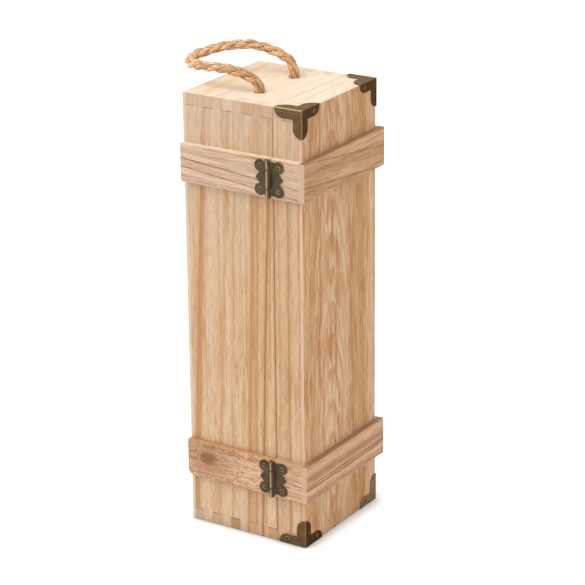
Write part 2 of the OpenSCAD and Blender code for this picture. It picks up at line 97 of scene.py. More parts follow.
class Graph:
    """A material's nodes, with short calls that take sockets or plain numbers."""

    def __init__(self, name):
        self.material = bpy.data.materials.new(name)
        self.material.use_nodes = True
        self.tree = self.material.node_tree
        self.tree.nodes.clear()
        self.shader = self.tree.nodes.new("ShaderNodeBsdfPrincipled")
        self.out = self.tree.nodes.new("ShaderNodeOutputMaterial")
        self.tree.links.new(self.shader.outputs[0], self.out.inputs[0])
        self.coords = self.tree.nodes.new("ShaderNodeTexCoord")
        scale = self.tree.nodes.new("ShaderNodeVectorMath")
        scale.operation = "SCALE"
        self.tree.links.new(self.coords.outputs["Object"], scale.inputs[0])
        scale.inputs["Scale"].default_value = 1 / MM
        self.place = scale.outputs[0]
        self.xyz = self.split(self.place)

    def split(self, vector):
        node = self.tree.nodes.new("ShaderNodeSeparateXYZ")
        self.tree.links.new(vector, node.inputs[0])
        return list(node.outputs)

    def plug(self, value, socket):
        if isinstance(value, bpy.types.NodeSocket):
            self.tree.links.new(value, socket)
        elif isinstance(value, tuple) and len(value) == 3 and len(socket.default_value) == 4:
            socket.default_value = (*value, 1)
        else:
            socket.default_value = value

    def math(self, operation, a, b=0.0):
        node = self.tree.nodes.new("ShaderNodeMath")
        node.operation = operation
        self.plug(a, node.inputs[0])
        self.plug(b, node.inputs[1])
        return node.outputs[0]

    def add(self, a, b):
        return self.math("ADD", a, b)

    def sub(self, a, b):
        return self.math("SUBTRACT", a, b)

    def mul(self, a, b):
        return self.math("MULTIPLY", a, b)

    def swing(self, noise, reach):
        """Noise round 0.5 turned into a push of up to half the reach to either side."""
        return self.mul(self.sub(noise, 0.5), reach)

    def length(self, a, b):
        return self.math("SQRT", self.add(self.mul(a, a), self.mul(b, b)))

    def vector(self, x, y, z):
        node = self.tree.nodes.new("ShaderNodeCombineXYZ")
        for value, socket in zip((x, y, z), node.inputs):
            self.plug(value, socket)
        return node.outputs[0]

    def noise(self, vector, scale=1.0, detail=2.0, rough=0.5):
        node = self.tree.nodes.new("ShaderNodeTexNoise")
        self.plug(vector, node.inputs["Vector"])
        node.inputs["Scale"].default_value = scale
        node.inputs["Detail"].default_value = detail
        node.inputs["Roughness"].default_value = rough
        return node.outputs["Fac"]

    def grain_noise(self, place, layer, short=1.0):
        """Noise drawn out along the grain, at a place (across, depth, along).

        layer is its scale across the grain and along it, its detail and its roughness.
        """
        across, depth, along = place
        fine, long, detail, rough = layer
        across, depth = self.mul(across, fine), self.mul(depth, fine)
        along = self.mul(along, long * short)
        return self.noise(self.vector(across, depth, along), 1.0, detail, rough)

    def step(self, value, low, high, out_low=0.0, out_high=1.0):
        """value mapped smoothly from low..high to out_low..out_high, and held there outside."""
        node = self.tree.nodes.new("ShaderNodeMapRange")
        node.interpolation_type = "SMOOTHSTEP"
        self.plug(value, node.inputs["Value"])
        ends = (low, high, out_low, out_high)
        for name, end in zip(("From Min", "From Max", "To Min", "To Max"), ends):
            self.plug(end, node.inputs[name])
        return node.outputs["Result"]

    def bell(self, distance, width):
        """1 where the distance is 0, falling away over the width."""
        share = self.math("DIVIDE", distance, width)
        return self.math("EXPONENT", self.mul(self.mul(share, share), -1.0))

    def mix(self, share, a, b, blend="MIX"):
        node = self.tree.nodes.new("ShaderNodeMix")
        node.data_type = "RGBA"
        node.blend_type = blend
        self.plug(share, node.inputs[0])
        self.plug(a, node.inputs[6])
        self.plug(b, node.inputs[7])
        return node.outputs[2]

    def paint(self, colour, tint, mask, *shares):
        """The colour turned to the tint by the mask times each share."""
        for share in shares:
            mask = self.mul(mask, share)
        return self.mix(mask, colour, tint)

    def bump(self, height, strength, distance):
        node = self.tree.nodes.new("ShaderNodeBump")
        self.plug(height, node.inputs["Height"])
        node.inputs["Strength"].default_value = strength
        node.inputs["Distance"].default_value = distance
        self.tree.links.new(node.outputs[0], self.shader.inputs["Normal"])

    def facing(self, axis):
        """1 on faces that look along the axis, 0 on the others."""
        normal = self.split(self.coords.outputs["Normal"])[AXES[axis]]
        return self.step(self.math("ABSOLUTE", normal), FACING_FROM, FACING_FULL)

    def edge_wear(self, radius, low, high):
        """1 on outer edges, from how far the rounded normal leans from the true one."""
        rounded = self.tree.nodes.new("ShaderNodeBevel")
        rounded.samples = 4
        rounded.inputs["Radius"].default_value = radius
        true = self.tree.nodes.new("ShaderNodeNewGeometry")
        dot = self.tree.nodes.new("ShaderNodeVectorMath")
        dot.operation = "DOT_PRODUCT"
        self.tree.links.new(rounded.outputs[0], dot.inputs[0])
        self.tree.links.new(true.outputs["True Normal"], dot.inputs[1])
        return self.step(dot.outputs["Value"], low, high, 1.0, 0.0)

    def finish(self, colour, roughness, specular):
        self.plug(colour, self.shader.inputs["Base Color"])
        self.plug(roughness, self.shader.inputs["Roughness"])
        self.shader.inputs["Specular IOR Level"].default_value = specular
        return self.material


def darker(colour, share):
    return tuple(c * share for c in colour)


# ---------------------------------------------------------------- rope

ROPE_Y = 2.5 * MM
TOP_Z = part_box("top_board")[1][2]
ROPE_DOWN = 7 * MM  # into each hole, to where the knot's piece begins
HOLE_X = 24 * MM
ROPE_SEED = 11

# The circle round the three strands. The grooves between them bring the rope down to ROPE_D
LAID_D = 8.1 * MM
STRANDS = 3
STRAND_LAY = 32 * MM  # along the rope, for one whole turn
STRAND_SQUEEZE = 1.14  # above 1 the strands press into each other
STRAND_SIDES = 14
STRAND_WAVE = 0.02  # how uneven the laying is, as a share of its radius
WAVE_LENGTHS = (31 * MM, 17 * MM, 9 * MM)
WAVE_IN_RADIUS = 0.8  # how much of that shows in a strand's own radius
SPLAY_RUN = 4 * MM  # the last stretch of a cut end, where the strands spread
RING_STEP = 0.8 * MM

# How far apart the strands start in the UV map, and the mesh attribute that says how far out
# of the rope's middle a point is
STRAND_SHIFT = 0.37
OUTWARD = "outward"

# Across, behind the holes and above the board, in millimetres
ROPE_ROUTE = [
    (-24, 0, 4.4), (-25, 3, 8.5), (-26.5, 9, 12), (-28, 18, 14.5), (-29, 28, 15.5),
    (-29.5, 38.5, 15.5), (-29, 49, 15), (-26, 59, 14.5), (-19, 66, 15), (-9.5, 67.5, 16),
    (0, 63, 18), (9, 56, 20), (17, 47.5, 21), (23.5, 38, 21), (28.5, 28.5, 18.5),
    (30.5, 18.5, 15.5), (30, 9.5, 12), (27, 3, 8.5), (24, 0, 4.4),
]

KNOT_POINTS = 15
KNOT_COILS = 1.9
KNOT_RADIUS = 4.1 * MM
KNOT_BELOW = 3.9 * MM
KNOT_HEIGHT = 6.3 * MM
KNOT_TAIL = (14 * MM, 19 * MM)
KNOT_SPLAY = 0.35

JUTE_SHADE, JUTE_LIT = (0.66, 0.355, 0.15), (0.80, 0.49, 0.25)
YARN_LIGHT, YARN_DARK = (0.96, 0.68, 0.41), (0.35, 0.15, 0.06)
FIBRE_LIGHT, FIBRE_DARK = (1.0, 0.79, 0.54), (0.30, 0.13, 0.055)
# The colour of the painted shade in the grooves between the strands
GROOVE_SHADE = (0.38, 0.18, 0.075)
FIBRE_TWIST = 30.0  # turns in a metre

# Painted shade on the rope near its two holes, over these metres along a strand
NEAR_HOLE_SHADE = (0.80, 0.70, 0.60)
NEAR_HOLE_SHADE_FIRST = (0.066, 0.014)
NEAR_HOLE_SHADE_LAST = (0.170, 0.192)


def run_along(line):
    """The distance along a line of each of its points."""
    return np.concatenate([[0], np.cumsum(np.linalg.norm(np.diff(line, axis=0), axis=1))])


def smooth_line(points, step):
    """Evenly spaced points on a smooth curve through all the points."""
    p = np.array([points[0], *points, points[-1]], float)
    t = np.linspace(0, 1, 40, endpoint=False)[:, None]
    line = []
    for a, b, c, d in zip(p, p[1:], p[2:], p[3:]):
        line.append(0.5 * (2 * b + (c - a) * t + (2 * a - 5 * b + 4 * c - d) * t**2
                           + (3 * b - a - 3 * c + d) * t**3))
    line = np.vstack([*line, p[-1]])
    run = run_along(line)
    count = max(int(run[-1] / step), 2)
    even = np.linspace(0, run[-1], count + 1)
    return np.column_stack([np.interp(even, run, line[:, i]) for i in range(3)])


def carried_axes(line):
    """For each point of a line its direction and two cross directions that don't spin."""
    way = np.gradient(line, axis=0)
    way /= np.linalg.norm(way, axis=1)[:, None]
    any_side = (0.31, 0.93, 0.17)
    side = np.cross(way[0], any_side)
    side /= np.linalg.norm(side)
    sides = []
    for direction in way:
        side = side - direction * side.dot(direction)
        side /= np.linalg.norm(side)
        sides.append(side)
    sides = np.array(sides)
    return way, sides, np.cross(way, sides)


def tube(line, radii, sides, start_run=0.0):
    """Points, faces and a UV map (run along, share round) of a closed tube."""
    _, across, up = carried_axes(line)
    run = run_along(line)
    angle = 2 * math.pi * np.arange(sides) / sides
    cos, sin = np.cos(angle)[None, :, None], np.sin(angle)[None, :, None]
    ring = across[:, None] * cos + up[:, None] * sin
    points = (line[:, None] + ring * radii[:, None, None]).reshape(-1, 3)
    faces, uvs = [], []
    for i in range(len(line) - 1):
        for s in range(sides):
            n = (s + 1) % sides
            faces.append((i * sides + s, i * sides + n, (i + 1) * sides + n, (i + 1) * sides + s))
            low, high = start_run + run[i], start_run + run[i + 1]
            here, there = s / sides, (s + 1) / sides
            uvs += [(low, here), (low, there), (high, there), (high, here)]
    last = (len(line) - 1) * sides
    faces.append(tuple(range(sides - 1, -1, -1)))
    uvs += [(start_run, s / sides) for s in range(sides - 1, -1, -1)]
    faces.append(tuple(last + s for s in range(sides)))
    uvs += [(start_run + run[-1], s / sides) for s in range(sides)]
    return points, faces, uvs


def mesh_piece(name, parts, material, outward=None):
    """One smooth-shaded object from several (points, faces, uvs).

    outward is each point's share of the way from the rope's middle to its outside.
    """
    points, faces, uvs = [], [], []
    for part_points, part_faces, part_uvs in parts:
        base = len(points)
        points += [tuple(p) for p in part_points]
        faces += [tuple(base + i for i in face) for face in part_faces]
        uvs += part_uvs
    mesh = bpy.data.meshes.new(name)
    mesh.from_pydata(points, [], faces)
    layer = mesh.uv_layers.new(name="along")
    layer.data.foreach_set("uv", np.array(uvs, np.float32).ravel())
    if outward is not None:
        mesh.attributes.new(OUTWARD, "FLOAT", "POINT").data.foreach_set("value", outward)
    mesh.polygons.foreach_set("use_smooth", [True] * len(faces))
    mesh.materials.append(material)
    mesh.update()
    piece = bpy.data.objects.new(name, mesh)
    bpy.context.scene.collection.objects.link(piece)
    return piece


def laid_strands(line, seed, splay=0.0):
    """Three strands laid round a line, and how far out each of their points is.

    splay spreads the strands over the line's last stretch.
    """
    strand_r = LAID_D / 2 / (1 + 2 / math.sqrt(3)) * STRAND_SQUEEZE
    lay_r = LAID_D / 2 - strand_r
    _, across, up = carried_axes(line)
    run = run_along(line)
    rng = np.random.default_rng(seed)
    parts, outward = [], []
    for k in range(STRANDS):
        angle = -2 * math.pi * (run / STRAND_LAY + k / STRANDS)
        wave = sum(
            STRAND_WAVE * np.sin(2 * math.pi * (run / length + rng.random()))
            for length in WAVE_LENGTHS
        )
        spread = 1 + splay * np.clip((run - run[-1] + SPLAY_RUN) / SPLAY_RUN, 0, 1) ** 2
        out = lay_r * (1 + wave) * spread
        round_it = across * np.cos(angle)[:, None] + up * np.sin(angle)[:, None]
        centre = line + round_it * out[:, None]
        radii = strand_r * (1 + WAVE_IN_RADIUS * wave)
        parts.append(tube(centre, radii, STRAND_SIDES, start_run=seed + STRAND_SHIFT * k))
        from_line = parts[-1][0] - np.repeat(line, STRAND_SIDES, axis=0)
        outward.append(np.linalg.norm(from_line, axis=1) / (LAID_D / 2))
    return parts, np.concatenate(outward).astype(np.float32)


def jute(name):
    """Fibres follow the strands through the UV map: metres along a strand, share round it."""
    g = Graph(name)
    along, round_it, _ = g.split(g.coords.outputs["UV"])
    turn = g.mul(g.sub(round_it, g.mul(along, FIBRE_TWIST)), 2 * math.pi)
    ring = (g.math("COSINE", turn), g.math("SINE", turn))

    def strand_noise(round_scale, along_scale, detail, rough):
        a, b = (g.mul(share, round_scale) for share in ring)
        return g.noise(g.vector(a, b, g.mul(along, along_scale)), 1.0, detail, rough)

    yarn = strand_noise(1.7, 90.0, 3.0, 0.6)
    fibres = strand_noise(6.0, 260.0, 4.0, 0.7)
    clumps = g.noise(g.place, 0.22, 3.0, 0.6)
    colour = g.mix(g.step(clumps, 0.35, 0.65), JUTE_SHADE, JUTE_LIT)
    colour = g.paint(colour, YARN_LIGHT, g.step(yarn, 0.5, 0.62), 0.85)
    colour = g.paint(colour, YARN_DARK, g.step(yarn, 0.5, 0.38), 0.9)
    colour = g.paint(colour, FIBRE_LIGHT, g.step(fibres, 0.52, 0.62), 0.8)
    colour = g.paint(colour, FIBRE_DARK, g.step(fibres, 0.48, 0.38), 0.8)

    # Painted shade in the grooves between the strands: the deeper a point lies in the rope, the
    # darker it is
    outward = g.tree.nodes.new("ShaderNodeAttribute")
    outward.attribute_name = OUTWARD
    colour = g.paint(colour, GROOVE_SHADE, g.step(outward.outputs["Fac"], 0.82, 0.60), 0.65)

    # Painted shade near the holes, over the first and last stretch of each strand
    strand = g.math("DIVIDE", g.sub(along, ROPE_SEED), STRAND_SHIFT)
    run = g.mul(g.math("FRACT", strand), STRAND_SHIFT)
    near_hole_shade = g.math("MAXIMUM", g.step(run, *NEAR_HOLE_SHADE_FIRST), g.step(run, *NEAR_HOLE_SHADE_LAST))
    colour = g.mix(near_hole_shade, colour, NEAR_HOLE_SHADE, "MULTIPLY")
    g.shader.inputs["Sheen Weight"].default_value = 0.25
    g.shader.inputs["Sheen Roughness"].default_value = 0.5
    g.bump(g.add(yarn, g.mul(fibres, 0.6)), 0.9, 0.0006)
    return g.finish(colour, 0.86, 0.2)


def rope_line():
    top = [(x * MM, y * MM + ROPE_Y, z * MM + TOP_Z) for x, y, z in ROPE_ROUTE]
    down = [
        [(side * HOLE_X, ROPE_Y, TOP_Z - ROPE_DOWN), (side * HOLE_X, ROPE_Y, TOP_Z - 1 * MM)]
        for side in (-1, 1)
    ]
    return smooth_line([*down[0], *top, *down[1][::-1]], RING_STEP)


def knot_line(side):
    """Down out of the hole, twice round itself, and down through the middle to the cut end."""
    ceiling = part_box("top_board")[0][2]
    points = [(0, 0, TOP_Z - ROPE_DOWN - 0.2 * MM), (0, 0, ceiling - 1 * MM)]
    for i in range(KNOT_POINTS + 1):
        share = i / KNOT_POINTS
        swell = math.sin(math.pi * min(share * 1.04, 1)) ** 0.35
        angle = side * 2 * math.pi * KNOT_COILS * share
        points.append((KNOT_RADIUS * swell * math.cos(angle), KNOT_RADIUS * swell * math.sin(angle),
                       ceiling - KNOT_BELOW - KNOT_HEIGHT * share))
    points += [(0, 0, ceiling - drop) for drop in KNOT_TAIL]
    middle = Vector((side * HOLE_X, ROPE_Y, 0))
    return smooth_line([(middle.x + x, middle.y + y, z) for x, y, z in points], RING_STEP)


def make_rope():
    material = jute("jute")
    line = rope_line()
    strands, outward = laid_strands(line, ROPE_SEED)
    loop = mesh_piece("rope_loop", strands, material, outward)
    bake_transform(loop)
    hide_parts("rope_handle")
    for side, node in ((-1, "rope_end_hinge_side"), (1, "rope_end_latch_side")):
        strands, outward = laid_strands(knot_line(side), ROPE_SEED + 1 + side, KNOT_SPLAY)
        knot = mesh_piece(node + "_knot", strands, material, outward)
        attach(knot, "tray")
        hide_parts(node)


make_rope()

# ---------------------------------------------------------------- wood

CREAM = (0.72, 0.52, 0.35)
TAN = (0.60, 0.37, 0.20)
BROWN = (0.49, 0.235, 0.085)
DARK = (0.39, 0.165, 0.05)
PINK_EDGE = (0.74, 0.49, 0.36)
KNOT_CORE = (0.25, 0.105, 0.055)

# Layers of noise along the grain: scale across it and along it, detail and roughness
DRIFT = (0.018, 0.006, 2.0, 0.5)
CURL = (0.11, 0.035, 2.0, 0.5)
SHIVER = (0.5, 0.12, 2.0, 0.5)
TONGUES = (1.1, 0.035, 3.0, 0.6)
TONE = (0.055, 0.004, 3.0, 0.6)
BANDS = (0.42, 0.004, 3.0, 0.65)
FLECKS = (0.75, 0.065, 5.0, 0.75)
FIBRES = (1.6, 0.16, 4.0, 0.75)
DASHES = (1.3, 0.115, 3.0, 0.6)
BLOBS = (0.23, 0.028, 2.0, 0.5)

FINE_SHARE = 0.3  # the fine lines' width, as a share of a growth ring's
SEED_SHIFT = 61.0  # how far a seed of 1 moves the figure along the grain
FINGER_HALF = (5.5, 6.5)  # from a finger's middle, where its tint starts to fade and ends

# Where the hinge side's wall stands, how far out of it a batten's ledge is painted with shade, and
# how dark
WALL_AT = -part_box("hinge_side_board")[0][0] / MM
FOOT_DARK, FOOT_END, FOOT_SHARE = 0.6, 2.2, 0.9


@dataclass(eq=False)
class Board:
    """How a board is cut and coloured. Places are millimetres in the part's frame."""

    axes: str  # the grain's axis, the face's other axis and the face's normal
    rings: tuple  # middle across, middle in depth, lean along the grain, ring width, share
    light: tuple = CREAM
    mid: tuple = TAN
    late: tuple = BROWN  # the dark late wood of each ring
    tone: float = 0.5  # how strong the broad bands are
    wave: float = 1.0  # how far the grain wanders
    fleck: float = 0.5  # short light and dark flecks
    dashes: float = 0.5  # open pores
    flame: float = 3.0  # how far the rings run out in tongues
    strokes: float = 0.0  # broad light and dark strokes
    low: tuple = None  # where the strokes fade: two places along, and the share at each
    fade: tuple = None  # the same for the rings, flecks and streaks
    short: float = 0.6  # above 1 flecks, fibres and pores are shorter, below 1 longer
    lines: float = 0.0  # fine lines between the rings
    washes: tuple = ()  # (place along where it starts, where it is full, share, colour)
    streaks: tuple = ()  # (place across, lean along the grain, width, share, colour)
    knots: tuple = ()  # (place along, place across, radius)
    ends: tuple = ()  # (place across, colour) of the finger ends that show end grain
    end_grain: tuple = None
    edge: tuple = None  # the colour of the board's narrow sides; on the front battens it is painted shade
    foot_shade: tuple = None  # their colour next to the wall: painted shade where the ledge meets it
    seed: float = 0.0

    def __post_init__(self):
        if self.end_grain is None:
            self.end_grain = tuple(0.5 * (a + b) for a, b in zip(self.light, self.mid))


def bend_round_knots(g, along, across, knots):
    """Pushes the grain sideways round each knot. Also gives the distances in knot radii."""
    reaches = []
    for knot_along, knot_across, radius in knots:
        a = g.math("DIVIDE", g.sub(along, knot_along), radius * 1.6)
        u = g.math("DIVIDE", g.sub(across, knot_across), radius)
        reach = g.length(a, u)
        push = g.mul(g.mul(g.math("SIGN", u), g.bell(reach, 2.3)), radius * 0.85)
        across = g.sub(across, push)
        reaches.append(reach)
    return across, reaches


def growth_rings(g, board, place):
    """How late in its ring the wood is, from 0, pale, to 1, dark, and the fine lines between."""
    across, depth, along = place
    middle_u, middle_w, lean, width, _ = board.rings
    u = g.sub(across, middle_u)
    w = g.add(g.sub(depth, middle_w), g.mul(along, lean))
    radius = g.length(u, w)
    fine = g.math("FRACT", g.math("DIVIDE", radius, width * FINE_SHARE))
    fine = g.mul(g.step(fine, 0.35, 0.85), g.step(fine, 0.85, 1.0, 1.0, 0.0))
    radius = g.add(radius, g.swing(g.grain_noise(place, TONGUES), board.flame))
    uneven = g.noise(g.vector(g.mul(radius, 0.08), board.seed, 0.0), 1.0, 2.0)
    phase = g.math("FRACT", g.add(g.math("DIVIDE", radius, width), g.mul(uneven, 3.0)))
    late = g.mul(g.step(phase, 0.30, 0.92), g.step(phase, 0.92, 1.0, 1.0, 0.0))
    strong = g.noise(g.vector(g.mul(radius, 0.3), g.mul(along, 0.006), board.seed), 1.0, 1.0)
    return g.mul(late, g.step(strong, 0.32, 0.66, 0.15, 1.0)), fine


def paint_strokes(g, board, colour, place, flecks, raw_along):
    low = g.step(raw_along, *board.low) if board.low else 1.0
    blobs = g.add(g.grain_noise(place, BLOBS), g.swing(flecks, 0.35))
    colour = g.paint(colour, board.late, g.step(blobs, 0.54, 0.61), board.strokes, low)
    return g.paint(colour, board.light, g.step(blobs, 0.46, 0.38), board.strokes * 0.7, low)


def paint_streaks(g, board, colour, across, raw_along, flecks, figure):
    for start, full, share, tint in board.washes:
        colour = g.paint(colour, tint, g.step(raw_along, start, full, 0.0, share))
    for place, lean, width, share, tint in board.streaks:
        away = g.sub(g.sub(across, place), g.mul(raw_along, lean))
        ragged = g.add(away, g.swing(flecks, width))
        colour = g.paint(colour, tint, g.bell(ragged, width), share, figure)
    return colour


def paint_knots(g, colour, reaches, wobble, late):
    for reach in reaches:
        ragged = g.add(reach, g.swing(wobble, 0.9))
        whorls = g.step(g.math("FRACT", g.mul(ragged, 2.6)), 0.3, 0.9)
        colour = g.paint(colour, late, g.bell(reach, 2.4), 0.6)
        colour = g.paint(colour, darker(late, 0.75), g.bell(reach, 1.8), whorls, 0.5)
        colour = g.paint(colour, KNOT_CORE, g.step(ragged, 1.1, 0.4, 0.0, 0.8))
    return colour


def paint_end_grain(g, board, colour, raw_across, rings):
    """Rings as arcs and fine dots on the ends, darker than the faces."""
    dots = g.noise(g.place, 1.3, 3.0, 0.6)
    ends = g.mix(g.step(dots, 0.35, 0.65), board.end_grain, darker(board.end_grain, 0.88))
    for place, tint in board.ends:
        away = g.math("ABSOLUTE", g.sub(raw_across, place))
        ends = g.paint(ends, tint, g.step(away, *FINGER_HALF, 1.0, 0.0))
    ends = g.paint(ends, board.late, rings, 0.15)
    ends = g.paint(ends, darker(board.late, 0.8), g.step(dots, 0.52, 0.72), 0.15)
    return g.paint(colour, ends, g.facing(board.axes[0]), 0.88)


def paint_edges_and_shade(g, board, colour, depth):
    edge = board.edge
    # Next to the wall the ledge's colour turns to painted shade
    if board.foot_shade:
        out = g.math("ABSOLUTE", depth)
        wall_shade = g.step(out, WALL_AT + FOOT_DARK, WALL_AT + FOOT_END, FOOT_SHARE, 0.0)
        edge = g.paint(edge, board.foot_shade, wall_shade)
    return g.paint(colour, edge, g.facing(board.axes[1]), 0.75)


def wood(name, board):
    """Bare sanded wood with open pores."""
    g = Graph(name)
    raw_along, raw_across, depth = (g.xyz[AXES[axis]] for axis in board.axes)
    along = g.add(raw_along, board.seed * SEED_SHIFT)
    across, reaches = bend_round_knots(g, raw_along, raw_across, board.knots)

    # The grain wanders slowly and curls a little
    place = (across, depth, along)
    drift, curl, shiver = (g.grain_noise(place, layer) for layer in (DRIFT, CURL, SHIVER))
    across = g.add(across, g.swing(drift, 9.0 * board.wave))
    across = g.add(across, g.swing(curl, 3.6 * board.wave))
    across = g.add(across, g.swing(shiver, 0.35 + 0.4 * board.wave))

    place = (across, depth, along)
    rings, fine = growth_rings(g, board, place)
    tone, bands = g.grain_noise(place, TONE), g.grain_noise(place, BANDS)
    flecks = g.grain_noise(place, FLECKS, board.short)
    fibres = g.grain_noise(place, FIBRES, board.short)
    dashes = g.grain_noise(place, DASHES, board.short)
    dash = g.mul(g.step(dashes, 0.52, 0.60), g.step(bands, 0.42, 0.56, 0.4, 1.0))
    figure = g.step(raw_along, *board.fade) if board.fade else 1.0

    colour = g.paint(board.light, board.mid, g.step(tone, 0.40, 0.62), board.tone)
    colour = g.paint(colour, board.mid, g.step(bands, 0.46, 0.57), board.tone)
    colour = g.paint(colour, board.late, g.step(bands, 0.53, 0.64), 0.8 * board.tone, figure)
    colour = g.paint(colour, board.late, rings, board.rings[-1], figure)
    colour = g.paint(colour, board.late, g.step(flecks, 0.50, 0.60), board.fleck * 0.75, figure)
    colour = g.paint(colour, board.light, g.step(flecks, 0.50, 0.41), board.fleck)
    if board.strokes:
        colour = paint_strokes(g, board, colour, place, flecks, raw_along)
    if board.lines:
        clear = g.mul(g.step(bands, 0.60, 0.46, 0.25, 1.0), board.lines)
        colour = g.paint(colour, board.late, fine, clear)
    colour = paint_streaks(g, board, colour, across, raw_along, flecks, figure)
    level = g.swing(fibres, figure)
    tint = g.vector(*(g.add(g.mul(level, share), 1.0) for share in (0.6, 0.95, 1.25)))
    colour = g.mix(1.0, colour, tint, "MULTIPLY")
    colour = g.paint(colour, darker(board.late, 0.85), dash, board.dashes * 0.6)
    colour = paint_knots(g, colour, reaches, curl, board.late)
    colour = paint_end_grain(g, board, colour, raw_across, rings)
    if board.edge:
        colour = paint_edges_and_shade(g, board, colour, depth)

    relief = g.sub(g.mul(fibres, 0.6), g.add(g.mul(dash, 0.8), g.mul(rings, 0.2)))
    g.bump(relief, 0.45, 0.00022)
    return g.finish(colour, g.step(dash, 0.0, 1.0, 0.6, 0.8), 0.3)


# ---------------------------------------------------------------- metal

SCRATCH = (2.2, 0.22, 2.0, 0.6)
BREAK_WIDTH = 0.9  # of the dark joint between two knuckles
BRONZE_GLOSS = (0.7, 0.45, 0.2, 1.0)

# Dark, middle and rubbed bright colours, and how far the edges are rubbed. The bright colour also
# serves the lines along folds and knuckles, which are partly a painted highlight
BRACKET_METAL = ((0.125, 0.074, 0.031), (0.175, 0.110, 0.052), (0.78, 0.56, 0.34), 0.3)
LEAF_METAL = ((0.078, 0.056, 0.036), (0.12, 0.09, 0.062), (0.66, 0.46, 0.19), 0.2)
HOOK_METAL = ((0.13, 0.09, 0.045), (0.24, 0.17, 0.085), (0.62, 0.44, 0.20), 0.8)
RIM_METAL = ((0.12, 0.08, 0.045), (0.22, 0.15, 0.085), (0.60, 0.44, 0.25), 0.8)
# The nail pits' near-black colour is painted shade inside the hollow nails
PIT_SHADE_METAL = ((0.010, 0.007, 0.005), (0.020, 0.014, 0.009), (0.03, 0.02, 0.01), 0.2)

# What the faces along Y keep of the red, green and blue: painted shade on the brackets' and nail
# rims' faces along Y, and painted light on those of the far bottom bracket
BRACKET_FRONT_SHADE = (0.50, 0.34, 0.14)
PAINTED_LIGHT_FRONT = (1.75, 2.05, 2.8)
RIM_FRONT_SHADE = (0.55, 0.42, 0.28)

# How far above and below a hinge's middle its knuckles meet, and the knuckles' radius
KNUCKLE_JOINT = 7.5
KNUCKLE_R = 2.0


def bronzed_metal(name, dark, mid, bright, wear, wear_and_highlights=(), breaks=(), front_light_and_shade=None):
    """Aged bronze. A fold is ((axis, place), (axis, place), width, share): a bright line, partly
    rubbed wear and partly a painted highlight.

    breaks are heights where those lines stay dark, and front is what the faces along Y keep of the
    colour's red, green and blue: below 1 it is painted shade, above 1 painted light.
    """
    g = Graph(name)
    cloud = g.noise(g.place, 0.14, 4.0, 0.6)
    speckle = g.noise(g.place, 1.5, 3.0, 0.7)
    scratch = g.grain_noise(g.xyz, SCRATCH)
    colour = g.mix(g.step(cloud, 0.32, 0.68), dark, mid)
    colour = g.paint(colour, darker(dark, 0.55), g.step(speckle, 0.52, 0.72), 0.4)
    wear_and_highlight_share = g.mul(g.edge_wear(0.0006, 0.70, 0.985), g.step(speckle, 0.25, 0.55, 0.5, 1.0))
    wear_and_highlight_share = g.mul(g.math("MAXIMUM", wear_and_highlight_share, g.mul(g.step(scratch, 0.62, 0.74), 0.2)), wear)
    # Bright lines along folds and knuckles: partly rubbed wear, partly painted highlight
    for (axis_a, place_a), (axis_b, place_b), width, share in wear_and_highlights:
        a = g.sub(g.math("ABSOLUTE", g.xyz[AXES[axis_a]]), abs(place_a))
        b = g.sub(g.math("ABSOLUTE", g.xyz[AXES[axis_b]]), abs(place_b))
        line = g.mul(g.bell(g.length(a, b), width), g.step(speckle, 0.2, 0.6, 0.75, 1.0))
        for height in breaks:
            line = g.mul(line, g.sub(1.0, g.bell(g.sub(g.xyz[2], height), BREAK_WIDTH)))
        wear_and_highlight_share = g.math("MAXIMUM", wear_and_highlight_share, g.mul(line, share))
    # Painted light and shade on the faces along Y: their colour is multiplied by the given shares
    if front_light_and_shade:
        colour = g.mix(g.facing("y"), colour, g.mix(1.0, colour, front_light_and_shade, "MULTIPLY"))
    colour = g.mix(wear_and_highlight_share, colour, bright)
    g.shader.inputs["Specular Tint"].default_value = BRONZE_GLOSS
    g.shader.inputs["Metallic"].default_value = 0.3
    g.bump(g.add(g.mul(speckle, 0.5), g.mul(cloud, 0.7)), 0.22, 0.0003)
    dull = g.add(g.mul(cloud, 0.6), g.mul(speckle, 0.4))
    return g.finish(colour, g.step(dull, 0.3, 0.7, 0.42, 0.62), 0.15)


# Radius and height above the seat, in millimetres, from the middle of the pit to the point
NAIL_PROFILE = [
    (0.001, -0.25), (0.62, -0.25), (0.74, 0.10), (1.05, 0.42), (1.35, 0.44), (1.66, 0.28),
    (1.90, 0.0), (0.70, 0.0), (0.70, -4.2), (0.001, -4.2),
]
NAIL_SIDES = 28
NAIL_PIT_RINGS = 2
NAIL_STANDS = 0.7  # how far a CAD nail stands out of its seat, in millimetres
SAME_PLACE = 0.01 * MM


def loose_parts(node):
    """The separate solids of a CAD node, each as an array of its points."""
    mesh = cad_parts[node].data
    points = np.array([v.co for v in mesh.vertices])
    first = list(range(len(points)))

    def first_of(i):
        while first[i] != i:
            i = first[i]
        return i

    joined = [tuple(edge.vertices) for edge in mesh.edges]
    at_place = {}
    for i, place in enumerate(np.round(points / SAME_PLACE).astype(int)):
        joined.append((at_place.setdefault(tuple(place), i), i))
    for a, b in joined:
        low, high = sorted((first_of(a), first_of(b)))
        first[high] = low
    group = np.array([first_of(i) for i in range(len(points))])
    return [points[group == g] for g in np.unique(group)]


